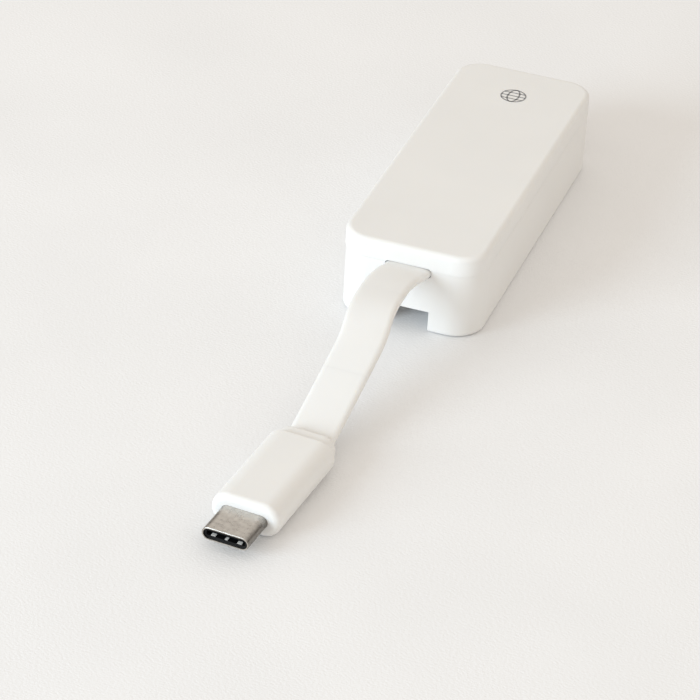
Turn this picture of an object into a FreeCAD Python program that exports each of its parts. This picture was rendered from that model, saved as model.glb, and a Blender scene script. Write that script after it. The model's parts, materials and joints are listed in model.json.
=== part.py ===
import FreeCAD, Part
import math
import os

# Wired network adapter with a fold-away flat pigtail, in millimetres.
# Origin: centre of the whole adapter's footprint with the cable laid out, on the plane it rests on.
# +Y points to the network port, -Y to the plug, +Z is up.

V = FreeCAD.Vector

# ---- Housing ---------------------------------------------------------------
BODY_LENGTH = 71.0
BODY_WIDTH = 26.0
BODY_HEIGHT = 16.2
CORNER_R = 5.0           # vertical corners, seen from above
FRONT_CORNER_R = 5.6     # lower shell's front corners
LIP_OVERHANG = 0.12      # the cover stands this far proud of the lower front wall
TOP_EDGE_R = 1.0
SEAM_BREAK = 0.08        # bevel on both sides of the parting line
BASE_EDGE_R = 0.8
WALL = 1.3
ROOF = 1.2
FLOOR = 1.2
SEAM_Z = 12.5            # parting line between lower shell and cover
FIT = 0.05               # gap between pieces that are assembled together
REACH = 76.13            # from the front face to the plug's tip, with the cable laid out
FRONT = (REACH - BODY_LENGTH) / 2
BACK = FRONT + BODY_LENGTH
SNAP_PLACES = (FRONT + 16.0, FRONT + 44.0)

# ---- Flat cable ------------------------------------------------------------
CABLE_WIDTH = 8.2
CABLE_THICK = 1.6
CABLE_SIDE_R = 0.7       # rounding of the ribbon's long edges
LINK_END_R = 0.75        # rounding of a link's ends
LINK_GAP = 0.45          # from a hinge line to the end of the link beside it
EXIT_Z = 11.86           # cable centre line where it leaves the front face
STUB_OUT = 6.06          # fixed length beyond the front face
STUB_IN = 6.4            # fixed length inside the front face
STUB_PITCH = 8.0         # degrees up
# Each link: length, pitch up and sideways drift in degrees, as the cable lies open.
# The first link is as long as the drop from its hinge to the stowed cable's centre line.
LINKS = (
    (9.63, -2.0, 0.6),
    (29.6, -18.3, 2.65),
)
PLUG_PITCH = 0.0
PLUG_DRIFT = 4.9
WIRE_X = (-2.75, -1.65, -0.55, 0.55, 1.65, 2.75)
WIRE_R = 0.4

# ---- Plug (own frame: origin at the last hinge, pointing along -Y) -----------
GRIP_REAR = 3.7
GRIP_LENGTH = 21.6
GRIP_WIDTH = 12.2
GRIP_THICK = 6.1
GRIP_FRONT_R = 1.1       # rounding of the grip's front rim
GRIP_REAR_R = 0.45       # rounding of the grip's rear rim
COLLAR_LENGTH = 2.7      # strain-relief collar behind the grip
COLLAR_WIDTH = 10.2
COLLAR_THICK = 4.7
SHELL_WIDTH = 8.25
SHELL_THICK = 2.4
SHELL_WALL = 0.25
SHELL_OUT = 6.9          # length that enters a socket
SHELL_IN = 4.2           # length held inside the grip
GRIP_FRONT = GRIP_REAR + GRIP_LENGTH
SHELL_TIP = GRIP_FRONT + SHELL_OUT
SHELL_ROOT = GRIP_FRONT - SHELL_IN
TONGUE_WIDTH = 6.8       # slot that takes the socket's tongue
TONGUE_GAP = 0.9
TONGUE_DEPTH = 5.4
CAN_REAR = GRIP_REAR + 4.6
CAN_WIDTH = 9.4
CAN_THICK = 4.2
CAN_WALL = 0.2
CARD_Z = 0.3             # half thickness of the paddle card
INSULATOR_TIP = SHELL_TIP - 0.3
INSULATOR_REAR = SHELL_ROOT + 1.4
SPRING_PADS = ((-2.3, 0.8), (0.0, 0.5), (2.3, 0.8))      # place across and width
PAD_LENGTH = 0.75
PAD_SETBACK = 0.12
CARD_FRONT = INSULATOR_REAR - 0.75
CARD_REAR = CAN_REAR + 3.2

# ---- Stow recess under the housing, distances from the front -----------------
GROOVE_HALF = 4.3
GROOVE_TOP = 4.15
POCKET_HALF = 6.4
POCKET_TOP = 6.4
POCKET_EDGE_R = 1.0      # rounding of the pocket's long roof edges
POCKET_REAR = 23.7
POCKET_FRONT = 49.4
NOSE_HALF = 4.5
NOSE_TOP = 4.6
NOSE_END = 56.3
RECESS_WALL = 0.75
MOUTH_BEVEL = 0.4

# ---- Circuit board ---------------------------------------------------------
BOARD_Z = 7.45
BOARD_THICK = 1.0
BOARD_TOP = BOARD_Z + BOARD_THICK
BOARD_HALF = 11.2
BOARD_FRONT = FRONT + 9.2
BOARD_REAR = FRONT + 57.0
BOARD_FORK = FRONT + 66.0
FORK_INNER = 8.35
POST_PLACES = ((-9.3, FRONT + 13.0), (9.3, FRONT + 13.0), (-9.3, FRONT + 52.0), (9.3, FRONT + 52.0))
POST_R = 1.6
STAKE_R = 0.6
SOLDER = 0.03            # gap between a part's feet and the board
MAGNETICS_Y = FRONT + 47.0
MAGNETICS_HALF = 4.6
MEMORY_X = 7.2
MEMORY_Y = FRONT + 25.0
REGULATOR_X = -7.0
REGULATOR_Y = FRONT + 22.5

# ---- Network port ----------------------------------------------------------
JACK_FACE = BACK - 0.2
JACK_REAR = FRONT + 57.35
JACK_HALF = 8.0
JACK_LOW = 1.4
JACK_HIGH = 14.6
SHIELD_T = 0.25
PORT_HALF = 5.98
PORT_LOW = 5.9
PORT_HIGH = 12.7
PORT_DEPTH = 12.1
CONTACT_PITCH = 1.02
CONTACT_COUNT = 8
CONTACT_SIZE = 0.35
CONTACT_SLOT = 0.5
CONTACT_PIVOT_Y = BACK - 2.6
CONTACT_PIVOT_Z = 12.95
CONTACT_LENGTH = 7.4
CONTACT_SLOPE = 20.0     # degrees below level, free end inwards
LED_LOW = 12.95
LED_HIGH = 14.15
LED_INNER = 5.1
LED_OUTER = 7.3
LED_LENGTH = 9.0


def block(x0, x1, y0, y1, z0, z1):
    return Part.makeBox(x1 - x0, y1 - y0, z1 - z0, V(x0, y0, z0))


def fused(shapes):
    return shapes[0].multiFuse(shapes[1:]).removeSplitter()


def corner_arc(cx, cy, r, start_deg):
    points = []
    for step in (0, 45, 90):
        a = math.radians(start_deg + step)
        points.append((cx + r * math.cos(a), cy + r * math.sin(a)))
    return points


def round_outline(corners):
    """Arcs of a closed outline from each corner's (centre u, centre v, radius), anticlockwise."""
    return [corner_arc(u, v, r, 90 * i) for i, (u, v, r) in enumerate(corners)]


def outline_face(arcs, lift):
    """Turns outline arcs in a plane into a face; lift(u, v) gives the point in space."""
    edges = []
    for i, arc in enumerate(arcs):
        a, b, c = [lift(u, v) for u, v in arc]
        edges.append(Part.Arc(a, b, c).toShape())
        nxt = lift(*arcs[(i + 1) % len(arcs)][0])
        if c.distanceToPoint(nxt) > 1e-6:
            edges.append(Part.makeLine(c, nxt))
    return Part.Face(Part.Wire(edges))


def plan_prism(half, y0, y1, r_front, r_back, z0, z1):
    """Upright prism with rounded plan corners."""
    corners = (
        (half - r_back, y1 - r_back, r_back),
        (-half + r_back, y1 - r_back, r_back),
        (-half + r_front, y0 + r_front, r_front),
        (half - r_front, y0 + r_front, r_front),
    )
    face = outline_face(round_outline(corners), lambda u, v: V(u, v, z0))
    return face.extrude(V(0, 0, z1 - z0))


def bar(width, thick, r, y0, y1, x=0.0, z=0.0):
    """Bar along Y with a rounded rectangular section centred on (x, z)."""
    hw = width / 2 - r
    ht = thick / 2 - r
    corners = ((hw, ht, r), (-hw, ht, r), (-hw, -ht, r), (hw, -ht, r))
    face = outline_face(round_outline(corners), lambda u, v: V(x + u, y0, z + v))
    return face.extrude(V(0, y1 - y0, 0))


def tube(width, thick, r, wall, y0, y1):
    inner = bar(width - 2 * wall, thick - 2 * wall, r - wall, y0 - 1, y1 + 1)
    return bar(width, thick, r, y0, y1).cut(inner)


def edges_at(shape, test):
    return [e for e in shape.Edges if test(e.BoundBox)]


def round_wire(points, r):
    """Round wire through the points."""
    curve = Part.BSplineCurve()
    curve.interpolate([V(*p) for p in points])
    path = Part.Wire(curve.toShape())
    start, ahead = curve.value(0), curve.tangent(0)[0]
    ring = Part.Wire(Part.makeCircle(r, start, ahead))
    return path.makePipeShell([ring], True, False)


def chip(x, y, width, length, height, bevel=0.12):
    """Low package with bevelled top edges, standing on the board."""
    z0 = BOARD_TOP + SOLDER
    body = block(x - width / 2, x + width / 2, y - length / 2, y + length / 2, z0, z0 + height)
    top = edges_at(body, lambda b: b.ZMin > z0 + height - 0.01)
    return body.makeChamfer(bevel, top)


def gull_lead(x, y, side, reach, width, z_body, thick=0.15):
    """Lead that leaves a package sideways (side -1 or 1 along X) and steps down to the board."""
    z0 = BOARD_TOP + SOLDER
    x_out = x + side * reach
    lo, hi = sorted((x, x + side * reach * 0.5))
    arm = block(lo, hi, y - width / 2, y + width / 2, z_body, z_body + thick)
    lo, hi = sorted((x + side * (reach * 0.5 - thick), x + side * reach * 0.5))
    leg = block(lo, hi, y - width / 2, y + width / 2, z0, z_body + thick)
    lo, hi = sorted((x + side * (reach * 0.5 - thick), x_out))
    foot = block(lo, hi, y - width / 2, y + width / 2, z0, z0 + thick)
    return fused([arm, leg, foot])


# ---- Housing shells ----------------------------------------------------------

def lower_front():
    return FRONT + LIP_OVERHANG


def recess_void():
    """Open-bottomed space that takes the cable, the grip and the nose of the stowed plug."""
    groove = block(-GROOVE_HALF, GROOVE_HALF, FRONT - 1, FRONT + POCKET_REAR + 1, -1, GROOVE_TOP)
    pocket = block(-POCKET_HALF, POCKET_HALF, FRONT + POCKET_REAR, FRONT + POCKET_FRONT, -1,
                   POCKET_TOP)
    roof_edges = edges_at(pocket, lambda b: b.ZMin > POCKET_TOP - 0.01 and b.YLength > 5)
    pocket = pocket.makeFillet(POCKET_EDGE_R, roof_edges)
    nose = block(-NOSE_HALF, NOSE_HALF, FRONT + POCKET_FRONT - 1, FRONT + NOSE_END, -1, NOSE_TOP)
    return fused([groove, pocket, nose])


def mouth_flare(half, y0, y1):
    """Bevel round the rim of a rectangular opening in the underside."""
    rims = []
    for z, grow in ((-MOUTH_BEVEL, 2 * MOUTH_BEVEL), (MOUTH_BEVEL, 0.0)):
        x = half + grow
        rims.append([V(-x, y0 - grow, z), V(x, y0 - grow, z), V(x, y1 + grow, z), V(-x, y1 + grow, z)])
    low, high = rims
    outlines = [low, high]
    for i in range(4):
        k = (i + 1) % 4
        outlines.append([low[i], low[k], high[k], high[i]])
    faces = [Part.Face(Part.makePolygon(points + points[:1])) for points in outlines]
    return Part.Solid(Part.Shell(faces))


def mouth_flares():
    return [
        mouth_flare(GROOVE_HALF, FRONT - 1, FRONT + POCKET_REAR),
        mouth_flare(POCKET_HALF, FRONT + POCKET_REAR, FRONT + POCKET_FRONT),
        mouth_flare(NOSE_HALF, FRONT + POCKET_FRONT, FRONT + NOSE_END),
    ]


def recess_walls():
    """Material around the stow recess, inside the lower shell."""
    t = RECESS_WALL
    groove = block(-GROOVE_HALF - t, GROOVE_HALF + t, FRONT + 1, FRONT + POCKET_REAR,
                   0.5, GROOVE_TOP + t)
    pocket = block(-POCKET_HALF - t, POCKET_HALF + t, FRONT + POCKET_REAR - t,
                   FRONT + POCKET_FRONT + t, 0.5, POCKET_TOP + t)
    nose = block(-NOSE_HALF - t, NOSE_HALF + t, FRONT + POCKET_FRONT, FRONT + NOSE_END + t,
                 0.5, NOSE_TOP + t)
    return fused([groove, pocket, nose])


def board_posts():
    """Four posts under the board, each with a heat-staked pin through it."""
    parts = []
    for x, y in POST_PLACES:
        parts.append(Part.makeCylinder(POST_R, BOARD_Z - FIT - 0.5, V(x, y, 0.5)))
        parts.append(Part.makeCylinder(STAKE_R, BOARD_TOP + 0.6 - 5, V(x, y, 5)))
        parts.append(Part.makeCylinder(1.1, 0.45, V(x, y, BOARD_TOP + FIT)))
    return parts


def cable_slot():
    """Slanted slot for the fixed end of the cable, through the front wall."""
    slot = bar(CABLE_WIDTH + 0.3, CABLE_THICK + 0.3, CABLE_SIDE_R, -3, 12)
    return place(slot, V(0, FRONT, EXIT_Z), STUB_PITCH, 0)


def grommet_seat():
    """Shelf and two cheeks that hold the cable's anchor block."""
    shelf = block(-6.3, 6.3, FRONT + 1.6, FRONT + 6.0, GROOVE_TOP, 9.2)
    left = block(-7.2, -6.3 + FIT, FRONT + 1.6, FRONT + 6.0, GROOVE_TOP, 11.6)
    right = block(6.3 - FIT, 7.2, FRONT + 1.6, FRONT + 6.0, GROOVE_TOP, 11.6)
    return [shelf, left, right]


def port_window():
    half = JACK_HALF + 0.15
    return block(-half, half, BACK - WALL - 1, BACK + 1, JACK_LOW - 0.15, JACK_HIGH + 0.15)


def snap_blocks(grow):
    """Wedge-shaped barbs on the cover's skirt; grown slightly they cut the catch windows."""
    barbs = []
    for y in SNAP_PLACES:
        for side in (-1, 1):
            x_in = side * (BODY_WIDTH / 2 - WALL - FIT - 0.3)
            x_out = side * (BODY_WIDTH / 2 - WALL + 0.45 + grow)
            lo, hi = sorted((x_in, x_out))
            barbs.append(block(lo, hi, y - 2.5 - grow, y + 2.5 + grow, 10.9 - grow, 11.5 + grow))
    return barbs


def bottom_shell():
    outer = plan_prism(BODY_WIDTH / 2, lower_front(), BACK, FRONT_CORNER_R, CORNER_R, 0, SEAM_Z)
    base_rim = edges_at(outer, lambda b: b.ZMax < 0.01)
    outer = outer.makeFillet(BASE_EDGE_R, base_rim)
    seam_rim = edges_at(outer, lambda b: b.ZMin > SEAM_Z - 0.01)
    outer = outer.makeChamfer(SEAM_BREAK, seam_rim)
    hollow = plan_prism(BODY_WIDTH / 2 - WALL, lower_front() + WALL, BACK - WALL,
                        FRONT_CORNER_R - WALL, CORNER_R - WALL, FLOOR, SEAM_Z + 1)
    shell = outer.cut(hollow)
    inside = plan_prism(BODY_WIDTH / 2 - 0.5, lower_front() + 0.5, BACK - 0.5,
                        FRONT_CORNER_R - 0.5, CORNER_R - 0.5, 0.5, SEAM_Z)
    added = fused([recess_walls()] + grommet_seat()).common(inside)
    shell = fused([shell, added] + board_posts())
    for void in [recess_void(), cable_slot(), port_window()] + mouth_flares() + snap_blocks(0.1):
        shell = shell.cut(void)
    return shell.removeSplitter()


def top_cover():
    outer = plan_prism(BODY_WIDTH / 2, FRONT, BACK, CORNER_R, CORNER_R, SEAM_Z, BODY_HEIGHT)
    rim = edges_at(outer, lambda b: b.ZMin > BODY_HEIGHT - 0.01)
    outer = outer.makeFillet(TOP_EDGE_R, rim)
    seam_rim = edges_at(outer, lambda b: b.ZMax < SEAM_Z + 0.01)
    outer = outer.makeChamfer(SEAM_BREAK, seam_rim)
    half = BODY_WIDTH / 2 - WALL
    y0 = lower_front() + WALL
    y1 = BACK - WALL
    hollow = plan_prism(half, y0, y1, FRONT_CORNER_R - WALL, CORNER_R - WALL, SEAM_Z - 1, BODY_HEIGHT - ROOF)
    cover = outer.cut(hollow)
    skirt_out = plan_prism(half - FIT, y0 + FIT, y1 - FIT, FRONT_CORNER_R - WALL - FIT,
                           CORNER_R - WALL - FIT, 10.8, BODY_HEIGHT - ROOF)
    skirt_in = plan_prism(half - FIT - 0.7, y0 + FIT + 0.7, y1 - FIT - 0.7, FRONT_CORNER_R - WALL - 0.8,
                          CORNER_R - WALL - 0.8, 10, BODY_HEIGHT)
    skirt = skirt_out.cut(skirt_in)
    skirt = skirt.cut(block(-7.4, 7.4, FRONT, FRONT + 4, 10, BODY_HEIGHT))
    skirt = skirt.cut(block(-8.4, 8.4, BACK - 4, BACK, 10, BODY_HEIGHT))
    pads = []
    for x in (-9.3, 9.3):
        for y in (FRONT + 17.0, FRONT + 48.0):
            pads.append(block(x - 0.8, x + 0.8, y - 0.8, y + 0.8, BOARD_TOP + FIT, BODY_HEIGHT - ROOF + 0.2))
    press = block(-5.6, 5.6, FRONT + 2.2, FRONT + 5.2, 12.75, BODY_HEIGHT - ROOF + 0.2)
    barbs = snap_blocks(0.0)
    cover = fused([cover, skirt, press] + pads + barbs)
    for void in (cable_slot(), port_window()):
        cover = cover.cut(void)
    return cover.removeSplitter()


# ---- Cable -------------------------------------------------------------------

def place(shape, origin, pitch, drift):
    """Turns a shape that points along -Y: pitch lifts its far end, drift swings it towards -X."""
    turn = FreeCAD.Rotation(V(0, 0, 1), -drift).multiply(FreeCAD.Rotation(V(1, 0, 0), -pitch))
    moved = shape.copy()
    moved.Placement = FreeCAD.Placement(origin, turn).multiply(shape.Placement)
    return moved


def outward(pitch, drift):
    turn = FreeCAD.Rotation(V(0, 0, 1), -drift).multiply(FreeCAD.Rotation(V(1, 0, 0), -pitch))
    return turn.multVec(V(0, -1, 0))


def ribbon(start, end):
    """Piece of flat cable from start to end along -Y, rounded at its long edges and at its ends."""
    section = bar(CABLE_WIDTH, CABLE_THICK, CABLE_SIDE_R, -end, -start)
    length = end - start
    hl = length / 2 - LINK_END_R
    ht = CABLE_THICK / 2 - LINK_END_R
    mid = -(start + end) / 2
    r = LINK_END_R
    corners = ((hl, ht, r), (-hl, ht, r), (-hl, -ht, r), (hl, -ht, r))
    side = outline_face(round_outline(corners), lambda u, v: V(-CABLE_WIDTH, mid + u, v))
    return section.common(side.extrude(V(2 * CABLE_WIDTH, 0, 0)))


def hinge_points():
    """Places of the hinge lines, from the housing to the plug."""
    point = V(0, FRONT, EXIT_Z) + outward(STUB_PITCH, 0) * STUB_OUT
    points = [point]
    for length, pitch, drift in LINKS:
        point = point + outward(pitch, drift) * length
        points.append(point)
    return points


HINGES = hinge_points()


def cable_stub():
    return place(ribbon(-STUB_IN, STUB_OUT - LINK_GAP), V(0, FRONT, EXIT_Z), STUB_PITCH, 0)


def cable_link(index):
    length, pitch, drift = LINKS[index]
    return place(ribbon(LINK_GAP, length - LINK_GAP), HINGES[index], pitch, drift)


def cable_grommet():
    """Anchor block moulded on the cable, held in the seat behind the front wall."""
    body = block(-6.2, 6.2, FRONT + 2.1, FRONT + 5.9, 9.3, 12.7)
    upright = edges_at(body, lambda b: b.ZLength > 3)
    body = body.makeFillet(0.4, upright)
    hole = bar(CABLE_WIDTH + 0.04, CABLE_THICK + 0.04, CABLE_SIDE_R, -3, 12)
    return body.cut(place(hole, V(0, FRONT, EXIT_Z), STUB_PITCH, 0))


def cable_wires():
    """Insulated conductors from the cable's inner end down to the board."""
    z_in = EXIT_Z - (STUB_IN + 0.1) * math.sin(math.radians(STUB_PITCH))
    y_in = FRONT + (STUB_IN + 0.1) * math.cos(math.radians(STUB_PITCH))
    wires = []
    for x in WIRE_X:
        path = ((x * 0.9, y_in, z_in), (x, y_in + 1.8, z_in - 0.5), (x * 1.15, y_in + 3.6, 9.6),
                (x * 1.2, y_in + 5.6, BOARD_TOP + WIRE_R + SOLDER))
        wires.append(round_wire(path, WIRE_R * 0.85))
    return Part.makeCompound(wires)


# ---- Circuit board and its parts ---------------------------------------------

def pcb():
    board = block(-BOARD_HALF, BOARD_HALF, BOARD_FRONT, BOARD_FORK, BOARD_Z, BOARD_TOP)
    corners = edges_at(board, lambda b: b.ZLength > 0.5)
    board = board.makeFillet(1.2, corners)
    board = board.cut(block(-FORK_INNER, FORK_INNER, BOARD_REAR, BOARD_FORK + 1, 0, 20))
    for x, y in POST_PLACES:
        board = board.cut(Part.makeCylinder(STAKE_R + 0.06, 10, V(x, y, 3)))
    return board


def magnetics_body():
    return chip(0, MAGNETICS_Y, 2 * MAGNETICS_HALF, 12.6, 5.4, 0.4)


def magnetics_leads():
    leads = []
    for side in (-1, 1):
        for i in range(10):
            y = MAGNETICS_Y + (i - 4.5) * 1.27
            leads.append(gull_lead(side * (MAGNETICS_HALF + 0.02), y, side, 1.5, 0.45, BOARD_TOP + 1.4))
    return Part.makeCompound(leads)


def ethernet_chip():
    body = chip(0, FRONT + 32.0, 7.0, 7.0, 0.85)
    return body.cut(Part.makeCylinder(0.4, 1, V(-2.6, FRONT + 34.6, BOARD_TOP + 0.8)))


def crystal():
    z0 = BOARD_TOP + SOLDER
    base = block(-8.9, -5.7, FRONT + 30.75, FRONT + 33.25, z0, z0 + 0.35)
    lid = block(-8.7, -5.9, FRONT + 30.95, FRONT + 33.05, z0 + 0.35, z0 + 0.8)
    return fused([base, lid])


def memory_chip():
    return chip(MEMORY_X, MEMORY_Y, 3.9, 4.9, 1.45, 0.2)


def memory_leads():
    leads = []
    for side in (-1, 1):
        for i in range(4):
            y = MEMORY_Y + (i - 1.5) * 1.27
            leads.append(gull_lead(MEMORY_X + side * 1.97, y, side, 1.0, 0.4, BOARD_TOP + 0.8))
    return Part.makeCompound(leads)


def regulator():
    return chip(REGULATOR_X, REGULATOR_Y, 1.6, 2.9, 1.1, 0.12)


def regulator_leads():
    leads = []
    for side, steps in ((-1, (-0.95, 0, 0.95)), (1, (-0.95, 0.95))):
        x = REGULATOR_X + side * 0.82
        for step in steps:
            leads.append(gull_lead(x, REGULATOR_Y + step, side, 0.6, 0.35, BOARD_TOP + 0.5))
    return Part.makeCompound(leads)


def power_inductor():
    """Shielded power coil: square ferrite with cut corners and a round groove in its top."""
    x, y = -1.6, FRONT + 23.6
    z0 = BOARD_TOP + SOLDER
    body = block(x - 2, x + 2, y - 2, y + 2, z0, z0 + 1.9)
    upright = edges_at(body, lambda b: b.ZLength > 1.2)
    body = body.makeChamfer(0.7, upright)
    ring = Part.makeCylinder(1.5, 1, V(x, y, z0 + 1.7))
    core = Part.makeCylinder(1.25, 2, V(x, y, z0 + 1.0))
    return body.cut(ring.cut(core))


def chip_part(x, y, along_x, length, width, height):
    """Small two-ended part with raised end caps."""
    z0 = BOARD_TOP + SOLDER
    hl, hw = length / 2, width / 2
    cap = length * 0.2
    pieces = [(-hl + cap * 0.9, hl - cap * 0.9, hw - 0.03, 0.03, height - 0.03),
              (-hl, -hl + cap, hw, 0, height), (hl - cap, hl, hw, 0, height)]
    solids = []
    for a, b, w, lo, hi in pieces:
        if along_x:
            solids.append(block(x + a, x + b, y - w, y + w, z0 + lo, z0 + hi))
        else:
            solids.append(block(x - w, x + w, y + a, y + b, z0 + lo, z0 + hi))
    return fused(solids)


def ceramic_capacitors():
    caps = [chip_part(x, FRONT + 18.6, False, 1.6, 0.8, 0.8) for x in (-5.2, -3.6, 3.6, 5.2)]
    caps += [chip_part(x, FRONT + 27.2, True, 1.6, 0.8, 0.8) for x in (-3.4, -0.6, 2.2)]
    for y in (35.4, 37.8):
        caps += [chip_part(x, FRONT + y, False, 1.6, 0.8, 0.8) for x in (-5, 5)]
    caps += [chip_part(1.6, FRONT + y, True, 2.0, 1.2, 1.2) for y in (22.6, 24.6)]
    return Part.makeCompound(caps)


def chip_resistors():
    parts = [chip_part(x, FRONT + 38.6, False, 1.0, 0.5, 0.35) for x in (-3, -1.8, -0.6, 0.6, 1.8, 3)]
    for y in (36, 37.2, 38.4, 39.6):
        parts += [chip_part(x, FRONT + y, True, 1.0, 0.5, 0.35) for x in (-8.9, 8.9)]
    parts += [chip_part(x, FRONT + 20.8, False, 1.0, 0.5, 0.35) for x in (3.6, 4.8)]
    return Part.makeCompound(parts)


def isolation_capacitor():
    return chip_part(9.6, FRONT + 59.6, False, 4.5, 2.0, 1.8)


def surge_array():
    return chip(-9.6, FRONT + 58.6, 1.4, 2.4, 0.9)


# ---- Network port --------------------------------------------------------------

def port_profile(grow, y0, y1):
    """Port opening: the plug's body with a stepped channel for its latch below."""
    main = block(-PORT_HALF - grow, PORT_HALF + grow, y0, y1, PORT_LOW - grow, PORT_HIGH + grow)
    wide = block(-3.2 - grow, 3.2 + grow, y0, y1, 4.4 - grow, PORT_LOW + 1)
    narrow = block(-2.0 - grow, 2.0 + grow, y0, y1, 3.2 - grow, PORT_LOW + 1)
    return fused([main, wide, narrow])


def contact_xs():
    return [(i - (CONTACT_COUNT - 1) / 2) * CONTACT_PITCH for i in range(CONTACT_COUNT)]


def jack_housing():
    t = SHIELD_T + 0.02
    body = block(-JACK_HALF + t, JACK_HALF - t, JACK_REAR + t, JACK_FACE - t, JACK_LOW + t, JACK_HIGH - t)
    body = body.cut(port_profile(0, JACK_FACE - PORT_DEPTH, BACK))
    for x in contact_xs():
        half = CONTACT_SLOT / 2
        body = body.cut(block(x - half, x + half, JACK_REAR - 1, BACK - 1.9, PORT_HIGH - 0.5, 13.9))
        body = body.cut(block(x - half, x + half, JACK_REAR - 1, JACK_REAR + 1.1, 8, 13.9))
    for side in (-1, 1):
        lo, hi = sorted((side * (LED_INNER - 0.05), side * (LED_OUTER + 0.05)))
        body = body.cut(block(lo, hi, JACK_FACE - LED_LENGTH - 0.05, BACK, LED_LOW - 0.05, LED_HIGH + 0.05))
    return body


def jack_shield():
    """Folded steel can with the port cut out of its face and feet on the board's fork."""
    t = SHIELD_T
    outer = block(-JACK_HALF, JACK_HALF, JACK_REAR, JACK_FACE, JACK_LOW, JACK_HIGH)
    folds = edges_at(outer, lambda b: b.YLength > 5)
    outer = outer.makeFillet(0.35, folds)
    inner = block(-JACK_HALF + t, JACK_HALF - t, JACK_REAR + t, JACK_FACE - t, JACK_LOW + t, JACK_HIGH - t)
    can = outer.cut(inner).cut(port_profile(0.12, JACK_FACE - 1, BACK + 1))
    can = can.cut(block(-4.3, 4.3, JACK_REAR - 1, JACK_REAR + 1, 7.5, 14.2))
    for side in (-1, 1):
        lo, hi = sorted((side * LED_INNER, side * LED_OUTER))
        can = can.cut(block(lo, hi, JACK_FACE - 1, BACK, LED_LOW, LED_HIGH))
    feet = []
    for side in (-1, 1):
        for y in (FRONT + 61.0, FRONT + 64.2):
            lo, hi = sorted((side * (JACK_HALF - 0.1), side * (JACK_HALF + 1.3)))
            if not (side > 0 and y < FRONT + 62):
                feet.append(block(lo, hi, y - 0.6, y + 0.6, BOARD_TOP + SOLDER, BOARD_TOP + SOLDER + t))
    return fused([can] + feet)


def jack_contacts():
    """Eight sprung contact wires that pivot just inside the mouth and hang into the port."""
    half = CONTACT_SIZE / 2
    wires = []
    for x in contact_xs():
        wire = block(x - half, x + half, -CONTACT_LENGTH, 0.1, -half, half)
        nose = edges_at(wire, lambda b: b.YMax < -CONTACT_LENGTH + 0.01 and b.XLength > 0.1)
        wire = wire.makeFillet(0.12, nose)
        wires.append(place(wire, V(0, CONTACT_PIVOT_Y, CONTACT_PIVOT_Z), -CONTACT_SLOPE, 0))
    return Part.makeCompound(wires)


def jack_tails():
    """Fixed part of each contact: along the port's roof, down its back and onto the board."""
    half = CONTACT_SIZE / 2
    roof_z = 13.45
    wires = []
    for x in contact_xs():
        roof = block(x - half, x + half, JACK_REAR + 0.3, BACK - 2.1, roof_z, roof_z + CONTACT_SIZE)
        drop = block(x - half, x + half, JACK_REAR + 0.3, JACK_REAR + 0.3 + CONTACT_SIZE,
                     BOARD_TOP + SOLDER, roof_z + CONTACT_SIZE)
        foot = block(x - half, x + half, JACK_REAR - 1.9, JACK_REAR + 0.3 + CONTACT_SIZE,
                     BOARD_TOP + SOLDER, BOARD_TOP + SOLDER + CONTACT_SIZE)
        wires.append(fused([roof, drop, foot]))
    return Part.makeCompound(wires)


def status_led(side):
    lo, hi = sorted((side * (LED_INNER + 0.05), side * (LED_OUTER - 0.05)))
    return block(lo, hi, JACK_FACE - LED_LENGTH, JACK_FACE - 0.05, LED_LOW + 0.05, LED_HIGH - 0.05)


# ---- Plug, built in its own frame ----------------------------------------------

def plug_overmold():
    """Grip moulded round the can and the cable."""
    r = GRIP_THICK / 2 - 0.02
    f = 0.02
    grip = bar(GRIP_WIDTH, GRIP_THICK, r, -GRIP_FRONT, -GRIP_REAR)
    front_rim = edges_at(grip, lambda b: b.YMax < -GRIP_FRONT + 0.01)
    grip = grip.makeFillet(GRIP_FRONT_R, front_rim)
    rear_rim = edges_at(grip, lambda b: b.YMin > -GRIP_REAR - 0.01)
    grip = grip.makeFillet(GRIP_REAR_R, rear_rim)
    collar_end = -GRIP_REAR + COLLAR_LENGTH
    collar = bar(COLLAR_WIDTH, COLLAR_THICK, COLLAR_THICK / 2 - 0.02, -GRIP_REAR - 2, collar_end)
    collar_rim = edges_at(collar, lambda b: b.YMin > collar_end - 0.01)
    grip = grip.fuse(collar.makeFillet(0.6, collar_rim))
    nose = bar(SHELL_WIDTH + 2 * f, SHELL_THICK + 2 * f, SHELL_THICK / 2, -GRIP_FRONT - 1, -SHELL_ROOT + f)
    core = bar(CAN_WIDTH + 2 * f, CAN_THICK + 2 * f, 1.2, -SHELL_ROOT - 1.0 - f, -CAN_REAR + f)
    entry = bar(CABLE_WIDTH + 0.16, CABLE_THICK + 0.16, CABLE_SIDE_R, -CAN_REAR - 1, 0)
    crimp = bar(CABLE_WIDTH + 1 + 2 * f, CABLE_THICK + 1 + 2 * f, 1.0, -CAN_REAR - 0.1, -CAN_REAR + 2.3 + f)
    for void in (nose, core, entry, crimp):
        grip = grip.cut(void)
    return grip


def plug_shell():
    r = SHELL_THICK / 2 - 0.01
    outer = bar(SHELL_WIDTH, SHELL_THICK, r, -SHELL_TIP, -SHELL_ROOT - 1.2)
    rim = edges_at(outer, lambda b: b.YMax < -SHELL_TIP + 0.01)
    outer = outer.makeFillet(0.14, rim)
    bore = bar(SHELL_WIDTH - 2 * SHELL_WALL, SHELL_THICK - 2 * SHELL_WALL, r - SHELL_WALL,
               -SHELL_TIP - 1, 0)
    return outer.cut(bore)


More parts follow.
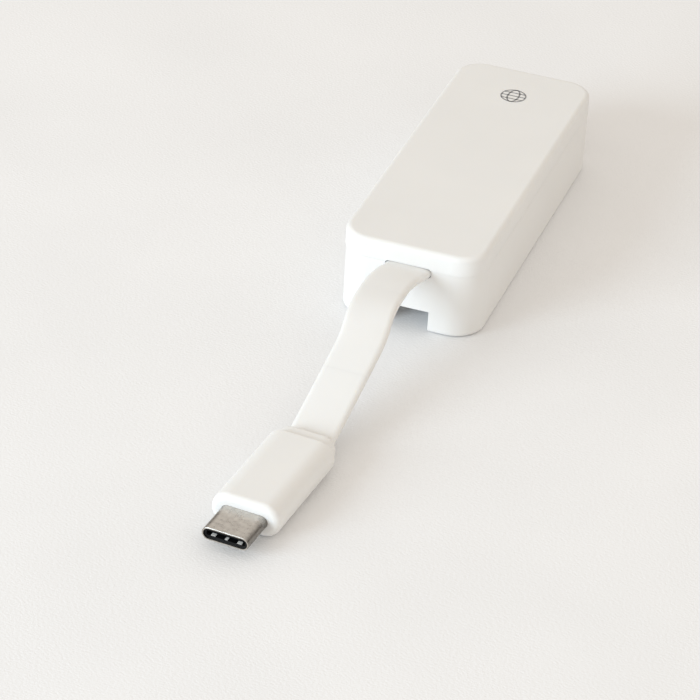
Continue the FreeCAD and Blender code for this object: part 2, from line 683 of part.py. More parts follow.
def plug_insulator():
    w = SHELL_WIDTH - 2 * SHELL_WALL - 0.04
    t = SHELL_THICK - 2 * SHELL_WALL - 0.04
    body = bar(w, t, t / 2 - 0.02, -INSULATOR_TIP, -INSULATOR_REAR)
    slot = bar(TONGUE_WIDTH, TONGUE_GAP, 0.2, -INSULATOR_TIP - 1, -INSULATOR_TIP + TONGUE_DEPTH)
    body = body.cut(slot)
    for z in (-1, 1):
        for x, width in SPRING_PADS:
            y0 = -INSULATOR_TIP + PAD_SETBACK
            lo, hi = sorted((z * 0.3, z * 2.0))
            half = width / 2 + 0.05
            body = body.cut(block(x - half, x + half, y0 - 0.05, y0 + PAD_LENGTH + 0.05, lo, hi))
        for i in range(12):
            x = (i - 5.5) * 0.5
            lo, hi = sorted((z * 0.3, z * 0.76))
            body = body.cut(block(x - 0.15, x + 0.15, -INSULATOR_TIP + 1.5, 0, lo, hi))
    for side in (-1, 1):
        lo, hi = sorted((side * 3.0, side * 3.62))
        body = body.cut(block(lo, hi, -INSULATOR_TIP + 1.0, -INSULATOR_REAR + 1, -0.14, 0.14))
    return body


def plug_contacts(side):
    """Twelve sprung contact strips on one face of the tongue slot."""
    strips = []
    for i in range(12):
        x = (i - 5.5) * 0.5
        lo, hi = sorted((side * 0.56, side * 0.7))
        beam = block(x - 0.1, x + 0.1, -INSULATOR_TIP + 1.8, -INSULATOR_REAR + 0.2, lo, hi)
        lo, hi = sorted((side * 0.4, side * 0.6))
        bump = block(x - 0.1, x + 0.1, -INSULATOR_TIP + 2.0, -INSULATOR_TIP + 2.5, lo, hi)
        lo, hi = sorted((side * (CARD_Z + SOLDER), side * 0.7))
        heel = block(x - 0.1, x + 0.1, -INSULATOR_REAR + 0.1, -INSULATOR_REAR + 0.25, lo, hi)
        lo, hi = sorted((side * (CARD_Z + SOLDER), side * (CARD_Z + SOLDER + 0.14)))
        foot = block(x - 0.1, x + 0.1, -INSULATOR_REAR + 0.1, -INSULATOR_REAR + 1.5, lo, hi)
        strips.append(fused([beam, bump, heel, foot]))
    return Part.makeCompound(strips)


def plug_latch():
    """Flat spring plate whose two side arms catch the socket's tongue."""
    arms = []
    for side in (-1, 1):
        lo, hi = sorted((side * 3.3, side * 3.56))
        arms.append(block(lo, hi, -INSULATOR_TIP + 1.2, -INSULATOR_REAR + 0.6, -0.1, 0.1))
        lo, hi = sorted((side * 3.1, side * 3.4))
        arms.append(block(lo, hi, -INSULATOR_TIP + 1.2, -INSULATOR_TIP + 1.8, -0.1, 0.1))
    bridge = block(-3.56, 3.56, -INSULATOR_REAR + 0.3, -INSULATOR_REAR + 0.6, -0.1, 0.1)
    return fused(arms + [bridge])


def plug_ground_springs():
    """Three grounding pads above and three below the tongue slot."""
    pads = []
    for z in (-1, 1):
        for x, width in SPRING_PADS:
            y0 = -INSULATOR_TIP + PAD_SETBACK
            lo, hi = sorted((z * 0.42, z * 0.85))
            pad = block(x - width / 2, x + width / 2, y0, y0 + PAD_LENGTH, lo, hi)
            pads.append(pad)
    return Part.makeCompound(pads)


def plug_inner_can():
    """Steel can round the paddle card, with a face plate that the shell passes through."""
    y0 = -SHELL_ROOT - 1.0
    can = tube(CAN_WIDTH, CAN_THICK, 1.18, CAN_WALL, y0, -CAN_REAR)
    face = bar(CAN_WIDTH, CAN_THICK, 1.18, y0, y0 + CAN_WALL)
    hole = bar(SHELL_WIDTH + 0.04, SHELL_THICK + 0.04, SHELL_THICK / 2, y0 - 1, y0 + 1)
    rear = bar(CAN_WIDTH, CAN_THICK, 1.18, -CAN_REAR - CAN_WALL, -CAN_REAR)
    rear = rear.cut(bar(CABLE_WIDTH + 0.2, CABLE_THICK + 0.6, CABLE_SIDE_R, -CAN_REAR - 1, 0))
    return fused([can, face.cut(hole), rear])


def plug_card():
    """Small board between the contacts and the conductors."""
    card = block(-4.1, 4.1, -CARD_FRONT, -CARD_REAR, -CARD_Z, CARD_Z)
    corners = edges_at(card, lambda b: b.ZLength > 0.5)
    return card.makeFillet(0.4, corners)


def plug_card_parts():
    """Chip parts on the upper face of the plug's card."""
    parts = []
    for x in (-2.8, -1.4, 1.4, 2.8):
        y = -CARD_FRONT + 3.4
        parts.append(block(x - 0.25, x + 0.25, y - 0.5, y + 0.5, CARD_Z + SOLDER, CARD_Z + 0.4))
    y = -CARD_FRONT + 3.5
    parts.append(block(-0.7, 0.7, y - 0.7, y + 0.7, CARD_Z + SOLDER, CARD_Z + 0.6))
    return Part.makeCompound(parts)


def plug_wires():
    wires = []
    y_jacket = -(CAN_REAR + 1.1)
    for x in WIRE_X:
        path = ((x, y_jacket, 0), (x, y_jacket - 0.9, 0.25),
                (x, y_jacket - 1.8, 0.7), (x, y_jacket - 3.4, 0.72))
        wires.append(round_wire(path, WIRE_R * 0.9))
    return Part.makeCompound(wires)


def cable_end():
    """Last piece of the flat cable, from the last hinge into the plug's can."""
    return ribbon(LINK_GAP, CAN_REAR + 1.0)


def cable_crimp():
    """Flattened ring crimped round the cable inside the grip, behind the can."""
    ring = bar(CABLE_WIDTH + 1.0, CABLE_THICK + 1.0, 1.0, -CAN_REAR + 0.3, -CAN_REAR + 2.3)
    hole = bar(CABLE_WIDTH + 0.1, CABLE_THICK + 0.1, CABLE_SIDE_R, -CAN_REAR, -CAN_REAR + 3)
    return ring.cut(hole)


def on_plug(shape):
    return place(shape, HINGES[-1], PLUG_PITCH, PLUG_DRIFT)


NODES = {
    "top_cover": top_cover,
    "bottom_shell": bottom_shell,
    "pcb": pcb,
    "magnetics_body": magnetics_body,
    "magnetics_leads": magnetics_leads,
    "ethernet_chip": ethernet_chip,
    "crystal": crystal,
    "memory_chip": memory_chip,
    "memory_leads": memory_leads,
    "regulator": regulator,
    "regulator_leads": regulator_leads,
    "power_inductor": power_inductor,
    "ceramic_capacitors": ceramic_capacitors,
    "chip_resistors": chip_resistors,
    "isolation_capacitor": isolation_capacitor,
    "surge_array": surge_array,
    "jack_housing": jack_housing,
    "jack_shield": jack_shield,
    "jack_contacts": jack_contacts,
    "jack_tails": jack_tails,
    "link_led": lambda: status_led(-1),
    "activity_led": lambda: status_led(1),
    "cable_grommet": cable_grommet,
    "cable_stub": cable_stub,
    "cable_wires": cable_wires,
    "cable_end": lambda: on_plug(cable_end()),
    "cable_crimp": lambda: on_plug(cable_crimp()),
    "plug_overmold": lambda: on_plug(plug_overmold()),
    "plug_shell": lambda: on_plug(plug_shell()),
    "plug_insulator": lambda: on_plug(plug_insulator()),
    "plug_contacts_upper": lambda: on_plug(plug_contacts(1)),
    "plug_contacts_lower": lambda: on_plug(plug_contacts(-1)),
    "plug_latch": lambda: on_plug(plug_latch()),
    "plug_ground_springs": lambda: on_plug(plug_ground_springs()),
    "plug_inner_can": lambda: on_plug(plug_inner_can()),
    "plug_card": lambda: on_plug(plug_card()),
    "plug_card_parts": lambda: on_plug(plug_card_parts()),
    "plug_wires": lambda: on_plug(plug_wires()),
}

os.makedirs("parts", exist_ok=True)
for node, make in NODES.items():
    make().exportStep("parts/" + node + ".step")
for index in range(len(LINKS)):
    cable_link(index).exportStep("parts/cable_link_%d.step" % (index + 1))
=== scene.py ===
import json
import math

import bpy
from mathutils import Matrix, Vector


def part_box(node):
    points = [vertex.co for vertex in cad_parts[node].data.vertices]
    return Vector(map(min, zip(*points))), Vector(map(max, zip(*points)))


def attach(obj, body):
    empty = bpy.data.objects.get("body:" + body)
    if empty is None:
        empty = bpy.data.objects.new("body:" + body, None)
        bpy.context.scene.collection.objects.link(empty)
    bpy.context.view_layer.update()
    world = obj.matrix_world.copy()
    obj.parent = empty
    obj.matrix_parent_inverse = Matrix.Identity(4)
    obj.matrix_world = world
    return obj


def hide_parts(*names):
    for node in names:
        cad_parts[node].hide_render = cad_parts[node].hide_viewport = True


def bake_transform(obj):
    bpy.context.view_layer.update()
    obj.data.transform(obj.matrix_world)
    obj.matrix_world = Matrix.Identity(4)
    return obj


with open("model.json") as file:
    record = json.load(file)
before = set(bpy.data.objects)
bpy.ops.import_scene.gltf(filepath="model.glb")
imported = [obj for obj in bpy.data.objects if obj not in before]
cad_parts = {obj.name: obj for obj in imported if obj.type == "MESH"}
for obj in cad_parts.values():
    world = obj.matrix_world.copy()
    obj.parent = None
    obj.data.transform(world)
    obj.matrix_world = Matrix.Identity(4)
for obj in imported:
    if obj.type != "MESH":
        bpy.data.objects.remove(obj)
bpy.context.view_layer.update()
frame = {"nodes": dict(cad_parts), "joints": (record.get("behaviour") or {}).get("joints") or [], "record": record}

MM = 0.001
NODES = frame["nodes"]
JOINT = {j["name"]: Vector(j["pos_m"]) for j in frame["joints"]}

# ---- Named values ------------------------------------------------------------

# Flat cable, in millimetres
CABLE_WIDTH = 8.2
CABLE_THICK = 1.6
EDGE_ACROSS = 1.0            # rounding of the ribbon's long edges, measured across the cable
EDGE_UP = 0.7                # and through its thickness
CABLE_CROWN = 0.04           # the broad faces stand this much proud at the middle
CABLE_STEP = 0.6             # spacing of the jacket's cross-sections in its bends
ROOT_RUN = 12.4              # from the first hinge back to the cable's inner end
END_RUN = 9.3                # from the last hinge to the cable's end inside the grip
SLOT_RUN = 5.0               # the cable leaves the slot's direction this far before the first hinge
SWAY = 1.05                  # the cable lies this far to one side between the first two hinges
CREST = 0.25                 # and stands this far above their line
SWAY_RUN = 6.5               # and is back on its straight this far past the second hinge
SLOT_FILL = 0.13             # the jacket swells this much on every side where it fills the slot
SLOT_FADE = 1.2              # and narrows again within this distance in front of it
SLOT_REACH = 1.5             # how far the path's rounding runs at the slot
HINGE_REACH = 3.3            # at the first two hinges
SWAY_REACH = 3.0             # and where the cable is back on its straight
TAIL_REACH = 8.0             # the rounding before the plug starts this far up the cable
TAIL_RUN_OUT = 0.9           # and ends this far past the hinge, before the grip's collar

# Mark on the cover, in millimetres
MARK_RADIUS = 2.3
MARK_LINE = 0.28
MARK_LIFT = 0.02             # how far it stands proud of the cover
MARK_SUNK = 0.01             # and how far it reaches into it
MARK_FROM_PORT_END = 10.6
MERIDIAN_SHARE = 0.45        # width of the meridian as a share of the circle's

# Floor, in millimetres unless noted
FLOOR_HALF = 3000.0
FLOOR_DROP = 0.05            # the floor lies this far under the feet, so that the faces don't fight
FLOOR_DARK = (0.835, 0.835, 0.84)
FLOOR_PALE = (0.865, 0.865, 0.87)

# Small parts with tinned ends
CAPPED_NODES = ("ceramic_capacitors", "chip_resistors")
CAP_SHARE = 0.21

# Camera: aimed at a point on the floor beside the housing's cable end
CAMERA_AIM = (-6.1, -10.8, 0.0)
CAMERA_DISTANCE = 616.4
CAMERA_TURN = 17.58
CAMERA_DOWN = 32.5
CAMERA_ROLL = 3.67
CAMERA_LENS = 183.3

# Light: turn is measured from -Y towards +X, rise above the floor, in degrees
KEY_TURN = -37.0
KEY_RISE = 16.5
KEY_DISTANCE = 1.1
KEY_SIZE = 0.6
KEY_POWER = 9.0
KEY_COLOR = (0.74, 0.88, 1.0)
ROOM_COLOR = (1.0, 0.94, 0.865)
ROOM_STRENGTH = 0.87
HORIZON_COLOR = (0.16, 0.13, 0.11)     # seen only in reflections
CEILING_COLOR = (1.0, 0.96, 0.91)


# ---- Materials ---------------------------------------------------------------

def new_material(name):
    """A node material and its principled shader."""
    material = bpy.data.materials.new(name)
    material.use_nodes = True
    return material, material.node_tree, material.node_tree.nodes["Principled BSDF"]


def object_coords(tree, scale=(1.0, 1.0, 1.0)):
    coord = tree.nodes.new("ShaderNodeTexCoord")
    mapping = tree.nodes.new("ShaderNodeMapping")
    mapping.inputs["Scale"].default_value = scale
    tree.links.new(coord.outputs["Object"], mapping.inputs["Vector"])
    return mapping.outputs["Vector"]


def noise(tree, vector, scale, detail=3.0):
    node = tree.nodes.new("ShaderNodeTexNoise")
    node.inputs["Scale"].default_value = scale
    node.inputs["Detail"].default_value = detail
    tree.links.new(vector, node.inputs["Vector"])
    return node.outputs["Fac"]


def ramp(tree, factor, stops):
    """Colour ramp; stops are (position, colour)."""
    node = tree.nodes.new("ShaderNodeValToRGB")
    elements = node.color_ramp.elements
    while len(elements) < len(stops):
        elements.new(0.5)
    for element, (position, color) in zip(elements, stops):
        element.position = position
        element.color = (*color, 1.0)
    tree.links.new(factor, node.inputs["Fac"])
    return node.outputs["Color"]


def value_range(tree, factor, low, high):
    node = tree.nodes.new("ShaderNodeMapRange")
    node.inputs["To Min"].default_value = low
    node.inputs["To Max"].default_value = high
    tree.links.new(factor, node.inputs["Value"])
    return node.outputs["Result"]


def bump(tree, shader, height, strength, distance):
    node = tree.nodes.new("ShaderNodeBump")
    node.inputs["Strength"].default_value = strength
    node.inputs["Distance"].default_value = distance
    tree.links.new(height, node.inputs["Height"])
    tree.links.new(node.outputs["Normal"], shader.inputs["Normal"])


def tint(color, factor):
    return tuple(min(1.0, c * factor) for c in color)


def plastic(name, color, rough=0.4, grain=9000.0, depth=0.004, soft=0.0, mottle=0.02, shine=0.5):
    """Moulded plastic: slight tone drift, uneven gloss and a fine moulded grain; depth in millimetres."""
    material, tree, shader = new_material(name)
    vector = object_coords(tree)
    broad = noise(tree, vector, 60.0)
    fine = noise(tree, vector, grain, 4.0)
    colors = ramp(tree, broad, ((0.3, tint(color, 1 - mottle)), (0.7, tint(color, 1 + mottle))))
    tree.links.new(colors, shader.inputs["Base Color"])
    tree.links.new(value_range(tree, fine, rough - 0.05, rough + 0.05), shader.inputs["Roughness"])
    shader.inputs["Specular IOR Level"].default_value = shine
    bump(tree, shader, fine, 0.35, depth * MM)
    if soft:
        shader.inputs["Subsurface Weight"].default_value = soft
        shader.inputs["Subsurface Radius"].default_value = (1.0, 0.9, 0.75)
        shader.inputs["Subsurface Scale"].default_value = 0.6 * MM
    return material


def painted_flank_shade(tree, colors, shade):
    """Painted shade: colours darkened to the given share where the surface turns to either side, in place of the
    darker reflection there.
    """
    coord = tree.nodes.new("ShaderNodeTexCoord")
    split = tree.nodes.new("ShaderNodeSeparateXYZ")
    tree.links.new(coord.outputs["Normal"], split.inputs["Vector"])
    sideways = tree.nodes.new("ShaderNodeMath")
    sideways.operation = "ABSOLUTE"
    tree.links.new(split.outputs["X"], sideways.inputs[0])
    scale = tree.nodes.new("ShaderNodeVectorMath")
    scale.operation = "SCALE"
    tree.links.new(colors, scale.inputs[0])
    tree.links.new(value_range(tree, sideways.outputs["Value"], 1.0, shade), scale.inputs["Scale"])
    return scale.outputs["Vector"]


def metal(name, color, rough, streak=(12000.0, 400.0, 12000.0), depth=0.0015, wear=0.12, cloud_scale=450.0,
          flank_painted_shade=1.0):
    """Plated metal: fine brushing along one axis, cloudy wear and tiny scratches; the flanks can be darkened as
    painted shade.
    """
    material, tree, shader = new_material(name)
    brushed = noise(tree, object_coords(tree, streak), 1.0, 4.0)
    cloud = noise(tree, object_coords(tree), cloud_scale, 5.0)
    colors = ramp(tree, cloud, ((0.32, tint(color, 1 - wear)), (0.68, tint(color, 1 + wear))))
    tree.links.new(painted_flank_shade(tree, colors, flank_painted_shade), shader.inputs["Base Color"])
    shader.inputs["Metallic"].default_value = 1.0
    tree.links.new(value_range(tree, cloud, rough - 0.08, rough + 0.1), shader.inputs["Roughness"])
    bump(tree, shader, brushed, 0.4, depth * MM)
    return material


def banded(name, low, high, colors, rough=0.35):
    """Insulated conductors side by side: one colour per band across X, between low and high in metres."""
    material, tree, shader = new_material(name)
    coord = tree.nodes.new("ShaderNodeTexCoord")
    split = tree.nodes.new("ShaderNodeSeparateXYZ")
    tree.links.new(coord.outputs["Object"], split.inputs["Vector"])
    place = tree.nodes.new("ShaderNodeMapRange")
    place.inputs["From Min"].default_value = low
    place.inputs["From Max"].default_value = high
    tree.links.new(split.outputs["X"], place.inputs["Value"])
    bands = tree.nodes.new("ShaderNodeValToRGB")
    bands.color_ramp.interpolation = "CONSTANT"
    elements = bands.color_ramp.elements
    while len(elements) < len(colors):
        elements.new(0.5)
    for i, (element, color) in enumerate(zip(elements, colors)):
        element.position = i / len(colors)
        element.color = (*color, 1.0)
    tree.links.new(place.outputs["Result"], bands.inputs["Fac"])
    tree.links.new(bands.outputs["Color"], shader.inputs["Base Color"])
    fine = noise(tree, object_coords(tree), 6000.0)
    tree.links.new(value_range(tree, fine, rough - 0.05, rough + 0.05), shader.inputs["Roughness"])
    bump(tree, shader, fine, 0.3, 0.003 * MM)
    return material


def solder_mask(name, color, bare):
    """Board: mask over fine tracks on its faces, bare laminate on its edges."""
    material, tree, shader = new_material(name)
    brick = tree.nodes.new("ShaderNodeTexBrick")
    brick.inputs["Color1"].default_value = (*tint(color, 1.25), 1.0)
    brick.inputs["Color2"].default_value = (*color, 1.0)
    brick.inputs["Mortar"].default_value = (*tint(color, 0.75), 1.0)
    brick.inputs["Scale"].default_value = 420.0
    brick.inputs["Mortar Size"].default_value = 0.03
    tree.links.new(object_coords(tree), brick.inputs["Vector"])
    geometry = tree.nodes.new("ShaderNodeNewGeometry")
    split = tree.nodes.new("ShaderNodeSeparateXYZ")
    tree.links.new(geometry.outputs["Normal"], split.inputs["Vector"])
    upright = tree.nodes.new("ShaderNodeMath")
    upright.operation = "ABSOLUTE"
    tree.links.new(split.outputs["Z"], upright.inputs[0])
    mix = tree.nodes.new("ShaderNodeMix")
    mix.data_type = "RGBA"
    mix.inputs[6].default_value = (*bare, 1.0)
    tree.links.new(upright.outputs["Value"], mix.inputs["Factor"])
    tree.links.new(brick.outputs["Color"], mix.inputs[7])
    tree.links.new(mix.outputs[2], shader.inputs["Base Color"])
    shader.inputs["Roughness"].default_value = 0.32
    bump(tree, shader, brick.outputs["Fac"], 0.3, 0.01 * MM)
    return material


def lens(name, color):
    material, tree, shader = new_material(name)
    cloud = noise(tree, object_coords(tree), 900.0)
    tree.links.new(ramp(tree, cloud, ((0.3, tint(color, 0.9)), (0.7, color))), shader.inputs["Base Color"])
    shader.inputs["Roughness"].default_value = 0.12
    shader.inputs["Transmission Weight"].default_value = 0.45
    shader.inputs["IOR"].default_value = 1.5
    return material


WHITE = (0.80, 0.793, 0.775)
MATERIALS = {
    "white_shell": plastic("white_shell", WHITE, 0.42, 7000.0, 0.006, soft=0.15, mottle=0.012),
    "white_jacket": plastic("white_jacket", tint(WHITE, 0.99), 0.5, 5000.0, 0.006, soft=0.2, mottle=0.015),
    "black_moulding": plastic("black_moulding", (0.012, 0.012, 0.013), 0.5, 5000.0, 0.006, shine=0.4),
    "deep_black": plastic("deep_black", (0.005, 0.005, 0.006), 0.5, 5000.0, 0.006, shine=0.2),
    "package_black": plastic("package_black", (0.022, 0.022, 0.023), 0.55, 9000.0, 0.01),
    "nickel_steel": metal("nickel_steel", (0.64, 0.60, 0.55), 0.3),
    # plug shell: nickel, with its flanks darkened in colour as painted shade for the dark reflection they catch
    "shell_nickel_painted_flank_shade": metal("shell_nickel_painted_flank_shade", (0.57, 0.535, 0.49), 0.28, wear=0.14, cloud_scale=1300.0,
                          flank_painted_shade=0.4),
    # springs' pads: pale diffuse colour in place of nickel metal, a painted highlight so they read bright in the
    # dark mouth
    "pad_painted_highlight": plastic("pad_painted_highlight", (0.86, 0.85, 0.82), 0.35, 9000.0, 0.002),
    "gold_contact": metal("gold_contact", (0.83, 0.62, 0.27), 0.24, depth=0.0008, wear=0.06),
    "tin_lead": metal("tin_lead", (0.70, 0.70, 0.69), 0.36, depth=0.001, wear=0.08),
    "board_green": solder_mask("board_green", (0.012, 0.11, 0.045), (0.55, 0.47, 0.26)),
    "ceramic_tan": plastic("ceramic_tan", (0.42, 0.29, 0.17), 0.5, 6000.0, 0.008, mottle=0.08),
    "ceramic_dark": plastic("ceramic_dark", (0.03, 0.03, 0.035), 0.35, 6000.0, 0.006, mottle=0.1),
    "ferrite_grey": plastic("ferrite_grey", (0.09, 0.09, 0.092), 0.7, 4000.0, 0.02, mottle=0.12),
    "lens_green": lens("lens_green", (0.35, 0.75, 0.35)),
    "lens_amber": lens("lens_amber", (0.95, 0.6, 0.15)),
    "mark_grey": plastic("mark_grey", (0.27, 0.27, 0.272), 0.5, 6000.0, 0.003),
}
WIRE_COLORS = (
    (0.45, 0.02, 0.02), (0.62, 0.62, 0.6), (0.02, 0.22, 0.06), (0.015, 0.015, 0.016),
    (0.03, 0.09, 0.42), (0.62, 0.60, 0.12),
)


def paint(obj, material):
    obj.data.materials.clear()
    obj.data.materials.append(material)


def wire_material(node):
    low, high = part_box(node)
    return banded("insulation_" + node, low.x, high.x, WIRE_COLORS)


def paint_nodes():
    """Every CAD node takes the material of its own slot in the record."""
    for part in frame["record"]["subparts"]:
        name = part["material_slot"]
        node = part["node"]
        material = wire_material(node) if name == "wire_insulation" else MATERIALS[name]
        paint(NODES[node], material)
    paint(NODES["plug_shell"], MATERIALS["shell_nickel_painted_flank_shade"])
    # the ground springs take the pale painted-highlight colour
    paint(NODES["plug_ground_springs"], MATERIALS["pad_painted_highlight"])
    paint(NODES["plug_insulator"], MATERIALS["deep_black"])


def islands(mesh):
    """Faces grouped into separate bodies; corners in the same place count as joined."""
    places = [tuple(round(c * 1e6) for c in v.co) for v in mesh.vertices]
    parent = {place: place for place in places}

    def root(place):
        while parent[place] != place:
            place = parent[place]
        return place

    for face in mesh.polygons:
        first = root(places[face.vertices[0]])
        for corner in face.vertices:
            parent[root(places[corner])] = first
    groups = {}
    for face in mesh.polygons:
        groups.setdefault(root(places[face.vertices[0]]), []).append(face)
    return groups.values()


def tin_end_caps(node):
    """The outer fifths of every small two-ended part are tinned."""
    mesh = NODES[node].data
    mesh.materials.append(MATERIALS["tin_lead"])
    for faces in islands(mesh):
        spots = [mesh.vertices[corner].co for face in faces for corner in face.vertices]
        low = [min(p[k] for p in spots) for k in (0, 1)]
        high = [max(p[k] for p in spots) for k in (0, 1)]
        axis = 0 if high[0] - low[0] > high[1] - low[1] else 1
        margin = (high[axis] - low[axis]) * CAP_SHARE
        for face in faces:
            place = face.center[axis]
            if place < low[axis] + margin or place > high[axis] - margin:
                face.material_index = 1


# ---- Mesh building -------------------------------------------------------------

def mesh_object(name, points, faces, sharp=math.radians(50)):
    mesh = bpy.data.meshes.new(name)
    mesh.from_pydata([tuple(p) for p in points], [], faces)
    mesh.validate()
    mesh.shade_smooth()
    mesh.set_sharp_from_angle(angle=sharp)
    obj = bpy.data.objects.new(name, mesh)
    bpy.context.scene.collection.objects.link(obj)
    return obj


def loft(name, rings):
    """Closed solid through rings of the same number of points, capped at both ends."""
    count = len(rings[0])
    points = [p for ring in rings for p in ring]
    faces = []
    for i in range(len(rings) - 1):
        a, b = i * count, (i + 1) * count
        for k in range(count):
            n = (k + 1) % count
            faces.append((a + k, a + n, b + n, b + k))
    faces.append(tuple(reversed(range(count))))
    last = (len(rings) - 1) * count
    faces.append(tuple(last + k for k in range(count)))
    return mesh_object(name, points, faces)


# ---- Cable jacket ----------------------------------------------------------------

def ribbon_section():
    """Outline of the flat cable, across and up, in metres, anticlockwise."""
    half_w = CABLE_WIDTH / 2 * MM
    half_t = CABLE_THICK / 2 * MM
    across = EDGE_ACROSS * MM
    through = EDGE_UP * MM
    crown = CABLE_CROWN * MM
    outline = []
    for quadrant, (sx, sy) in enumerate(((1, 1), (-1, 1), (-1, -1), (1, -1))):
        for step in range(7):
            a = math.radians(90 * quadrant + 15 * step)
            x = sx * (half_w - across) + across * math.cos(a)
            y = sy * (half_t - crown - through) + through * math.sin(a)
            outline.append((x, y))
        if sy == sx:
            for share in (0.5, 0.0, -0.5):
                outline.append((sx * share * (half_w - across), sy * (half_t - crown * share * share)))
    return outline


def bezier(a, b, c, steps):
    """Points of a rounded corner at b that starts at a; the end point c is left to the next run."""
    points = []
    for i in range(steps):
        t = i / steps
        points.append(a * (1 - t) ** 2 + b * 2 * t * (1 - t) + c * t ** 2)
    return points


def straight(a, b):
    """Points of a straight run that starts at a; the end point b is left to the next run."""
    steps = max(1, round((b - a).length / (CABLE_STEP * 2 * MM)))
    return [a.lerp(b, i / steps) for i in range(steps)]


def bend_steps(a, b, c):
    return max(4, round(((b - a).length + (c - b).length) / (CABLE_STEP * MM)))


def rounded(corners, reaches):
    """Path along straight runs, with the corner between two runs rounded over its own reach."""
    path = []
    start = corners[0]
    for before, corner, after, reach in zip(corners, corners[1:], corners[2:], reaches):
        into = corner + (before - corner).normalized() * reach * MM
        out = corner + (after - corner).normalized() * reach * MM
        path += straight(start, into) + bezier(into, corner, out, bend_steps(into, corner, out))
        start = out
    return path + straight(start, corners[-1]) + [corners[-1]]


def slot_swell(point):
    """Growth of the cable on every side: full inside the front wall, none further out."""
    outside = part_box("bottom_shell")[0].y - point.y
    return SLOT_FILL * MM * min(1.0, max(0.0, 1 - outside / (SLOT_FADE * MM)))


def no_swell(point):
    return 0.0


def sweep(name, path, first_way, last_way, swell=no_swell):
    """Ribbon solid along a path; its ends are square to the given directions."""
    outline = ribbon_section()
    rings = []
    for i, point in enumerate(path):
        if i == 0:
            way = first_way
        elif i == len(path) - 1:
            way = last_way
        else:
            way = (path[i + 1] - path[i - 1]).normalized()
        side = Vector((0, 0, 1)).cross(way).normalized()
        up = way.cross(side)
        growth = swell(point)
        wide = 1 + growth / (CABLE_WIDTH / 2 * MM)
        thick = 1 + growth / (CABLE_THICK / 2 * MM)
        rings.append([point + side * x * wide + up * y * thick for x, y in outline])
    return loft(name, rings)


def middle(node):
    """Centre of a node's box at rest."""
    low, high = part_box(node)
    return (low + high) / 2


def cable_jacket():
    """Three pieces with rounded bends that meet at the middles of the two links."""
    p1, p2, p3 = JOINT["plug_fold"], JOINT["loop_fold"], JOINT["tail_fold"]
    way0 = (p1 - middle("cable_stub")).normalized()
    way1 = (p2 - p1).normalized()
    way2 = (p3 - p2).normalized()
    way3 = (middle("plug_shell") - p3).normalized()
    slot = p1 - way0 * SLOT_RUN * MM
    offset = Vector((-SWAY, 0, CREST)) * MM
    swayed1 = p1 + offset
    swayed2 = p2 + offset
    settled = p2 + way2 * SWAY_RUN * MM
    outer_end = p3 + way3 * END_RUN * MM
    join1 = swayed1.lerp(swayed2, 0.5)
    join2 = p2.lerp(p3, 0.5)

    path = rounded((p1 - way0 * ROOT_RUN * MM, slot, swayed1, join1), (SLOT_REACH, HINGE_REACH))
    root = sweep("jacket_root", path, way0, way1, slot_swell)
    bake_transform(root)
    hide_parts("cable_stub", "cable_link_1")

    path = rounded((join1, swayed2, settled, join2), (HINGE_REACH, SWAY_REACH))
    loop = sweep("jacket_loop", path, way1, way2)
    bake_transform(loop)
    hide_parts("cable_link_2")

    bend3 = (p3 - way2 * TAIL_REACH * MM, p3, p3 + way3 * TAIL_RUN_OUT * MM)
    path = straight(join2, bend3[0]) + bezier(*bend3, bend_steps(*bend3)) + straight(bend3[2], outer_end)
    path.append(outer_end)
    tail = sweep("jacket_tail", path, way2, way3)
    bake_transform(tail)
    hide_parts("cable_end")

    for piece in (root, loop, tail):
        paint(piece, MATERIALS["white_jacket"])


# ---- Mark on the cover -------------------------------------------------------------

def strip(points, closed, half, z0, z1):
    """Points and faces of a flat solid line of the given half width through 2-D points."""
    count = len(points)
    ring_points = []
    for i, p in enumerate(points):
        before = points[i - 1] if closed or i else p
        after = points[(i + 1) % count] if closed or i < count - 1 else p
        way = (after - before).normalized()
        side = Vector((-way.y, way.x, 0)) * half
        for sign, z in ((-1, z0), (1, z0), (1, z1), (-1, z1)):
            ring_points.append(Vector((p.x, p.y, z)) + side * sign)
    faces = []
    for i in range(count if closed else count - 1):
        a, b = 4 * i, 4 * ((i + 1) % count)
        for k in range(4):
            n = (k + 1) % 4
            faces.append((a + k, b + k, b + n, a + n))
    if not closed:
        last = 4 * (count - 1)
        faces.append((0, 1, 2, 3))
        faces.append((last + 3, last + 2, last + 1, last))
    return ring_points, faces


def ellipse(center, rx, ry, steps=48):
    """Points of a level ellipse round the centre, anticlockwise."""
    points = []
    for i in range(steps):
        a = 2 * math.pi * i / steps
        points.append(center + Vector((rx * math.cos(a), ry * math.sin(a), 0)))
    return points


def globe_mark():
    """Plain globe sign printed on the cover: a circle, a meridian and three parallels."""
    low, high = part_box("top_cover")
    center = Vector(((low.x + high.x) / 2, high.y - MARK_FROM_PORT_END * MM, 0))
    r = MARK_RADIUS * MM
    half = MARK_LINE / 2 * MM
    z0 = high.z - MARK_SUNK * MM
    z1 = high.z + MARK_LIFT * MM
    lines = [(ellipse(center, r, r), True), (ellipse(center, r * MERIDIAN_SHARE, r), True)]
    for share in (-0.5, 0.0, 0.5):
        reach = r * math.sqrt(1 - share * share)
        ends = [center + Vector((x * reach, share * r, 0)) for x in (-1, 0, 1)]
        lines.append((ends, False))
    points, faces = [], []
    for line, closed in lines:
        more, shapes = strip(line, closed, half, z0, z1)
        faces += [tuple(v + len(points) for v in face) for face in shapes]
        points += more
    mark = mesh_object("cover_mark", points, faces)
    paint(mark, MATERIALS["mark_grey"])
    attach(mark, "housing")


# ---- Stage -------------------------------------------------------------------------

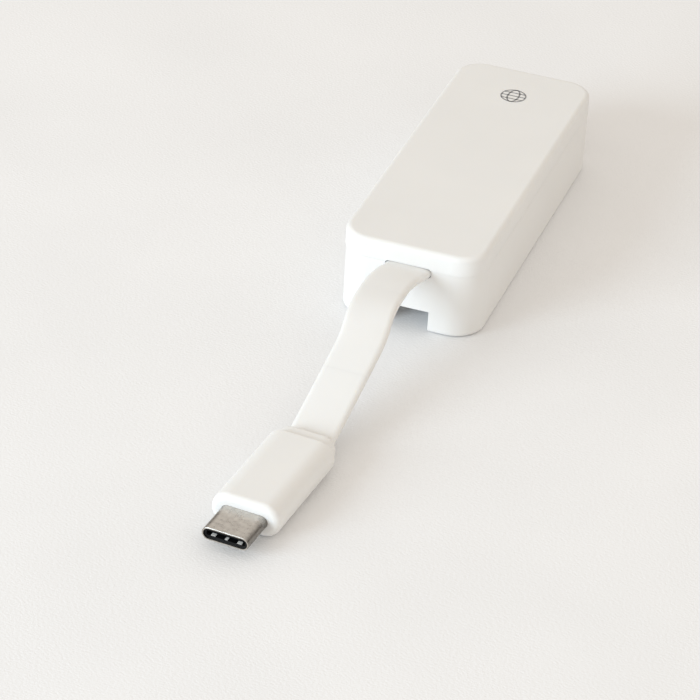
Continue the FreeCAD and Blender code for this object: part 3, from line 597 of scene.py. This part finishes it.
def cloth_floor():
    """Plain pale floor with a faint weave."""
    material, tree, shader = new_material("floor_cloth")
    weave = noise(tree, object_coords(tree, (1800.0, 2600.0, 1.0)), 1.0, 2.0)
    broad = noise(tree, object_coords(tree), 25.0, 2.0)
    colors = ramp(tree, broad, ((0.3, FLOOR_DARK), (0.7, FLOOR_PALE)))
    tree.links.new(colors, shader.inputs["Base Color"])
    shader.inputs["Roughness"].default_value = 0.9
    shader.inputs["Specular IOR Level"].default_value = 0.2
    bump(tree, shader, weave, 0.6, 0.12 * MM)
    half = FLOOR_HALF * MM
    z = -FLOOR_DROP * MM
    corners = [(-half, -half, z), (half, -half, z), (half, half, z), (-half, half, z)]
    floor = mesh_object("floor", corners, [(0, 1, 2, 3)])
    paint(floor, material)


def area_light(name, place, aim, size, power, color):
    data = bpy.data.lights.new(name, "AREA")
    data.shape = "DISK"
    data.size = size
    data.energy = power
    data.color = color
    light = bpy.data.objects.new(name, data)
    light.location = place
    light.rotation_mode = "QUATERNION"
    light.rotation_quaternion = (Vector(aim) - Vector(place)).to_track_quat("-Z", "Y")
    bpy.context.scene.collection.objects.link(light)


def room():
    """Even warm light, whose reflection darkens from the ceiling to the horizon."""
    world = bpy.data.worlds.new("studio")
    world.use_nodes = True
    tree = world.node_tree
    coord = tree.nodes.new("ShaderNodeTexCoord")
    split = tree.nodes.new("ShaderNodeSeparateXYZ")
    tree.links.new(coord.outputs["Generated"], split.inputs["Vector"])
    walls = ramp(tree, split.outputs["Z"], ((0.02, HORIZON_COLOR), (0.62, CEILING_COLOR)))
    ray = tree.nodes.new("ShaderNodeLightPath")
    mix = tree.nodes.new("ShaderNodeMix")
    mix.data_type = "RGBA"
    mix.inputs[6].default_value = (*ROOM_COLOR, 1.0)
    tree.links.new(ray.outputs["Is Glossy Ray"], mix.inputs["Factor"])
    tree.links.new(walls, mix.inputs[7])
    background = tree.nodes["Background"]
    tree.links.new(mix.outputs[2], background.inputs["Color"])
    background.inputs["Strength"].default_value = ROOM_STRENGTH
    return world


def lighting():
    """Cool low window light from the front left over warm room light."""
    turn, rise = math.radians(KEY_TURN), math.radians(KEY_RISE)
    way = Vector((math.sin(turn) * math.cos(rise), -math.cos(turn) * math.cos(rise), math.sin(rise)))
    area_light("window", way * KEY_DISTANCE, (0, 0, 0), KEY_SIZE, KEY_POWER, KEY_COLOR)
    bpy.context.scene.view_settings.view_transform = "Standard"
    bpy.context.scene.world = room()


def camera():
    front = Vector((0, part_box("top_cover")[0].y, 0))
    aim = front + Vector(CAMERA_AIM) * MM
    turn, down = math.radians(CAMERA_TURN), math.radians(CAMERA_DOWN)
    away = Vector((math.sin(turn) * math.cos(down), -math.cos(turn) * math.cos(down), math.sin(down)))
    data = bpy.data.cameras.new("camera")
    data.lens = CAMERA_LENS
    data.sensor_width = 36.0
    data.clip_start = 0.01
    data.clip_end = 20.0
    obj = bpy.data.objects.new("camera", data)
    look = (-away).to_track_quat("-Z", "Y").to_matrix().to_4x4()
    roll = Matrix.Rotation(math.radians(CAMERA_ROLL), 4, "Z")
    obj.matrix_world = Matrix.Translation(aim + away * CAMERA_DISTANCE * MM) @ look @ roll
    bpy.context.scene.collection.objects.link(obj)
    bpy.context.scene.camera = obj


paint_nodes()
for node in CAPPED_NODES:
    tin_end_caps(node)
cable_jacket()
globe_mark()
cloth_floor()
lighting()
camera()
